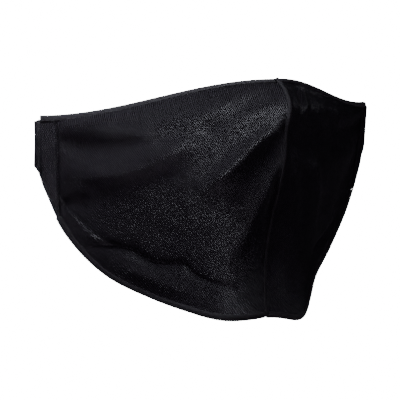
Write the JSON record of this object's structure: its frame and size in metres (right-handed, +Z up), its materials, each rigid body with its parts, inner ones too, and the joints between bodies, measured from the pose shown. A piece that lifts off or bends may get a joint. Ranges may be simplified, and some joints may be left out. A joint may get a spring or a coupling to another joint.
{
  "type": "cloth face mask",
  "caption": "Shaped cloth face mask in its worn form: two twill side panels meet in a raised centre seam, with hemmed edges and flat open ear casings.",
  "frame": {"origin": "bridge of the nose: the middle of the top edge, where the centre seam starts", "axes": "+Z up as worn, -Y forwards away from the face, +X towards the wearer's left"},
  "size_m": [0.2266, 0.0731, 0.1347],
  "materials": {
    "twill": "black cotton twill with a fine diagonal rib and a soft sheen on its raised folds",
    "edging": "black overlocked and folded twill edging, matt and slightly fuzzy"
  },
  "bodies": {
    "root": {"centre_seam": "edging", "right_panel": "twill", "right_top_hem": "edging", "right_lower_hem": "edging", "right_ear_casing": "twill", "left_panel": "twill", "left_top_hem": "edging", "left_lower_hem": "edging", "left_ear_casing": "twill"}
  },
  "joints": []
}
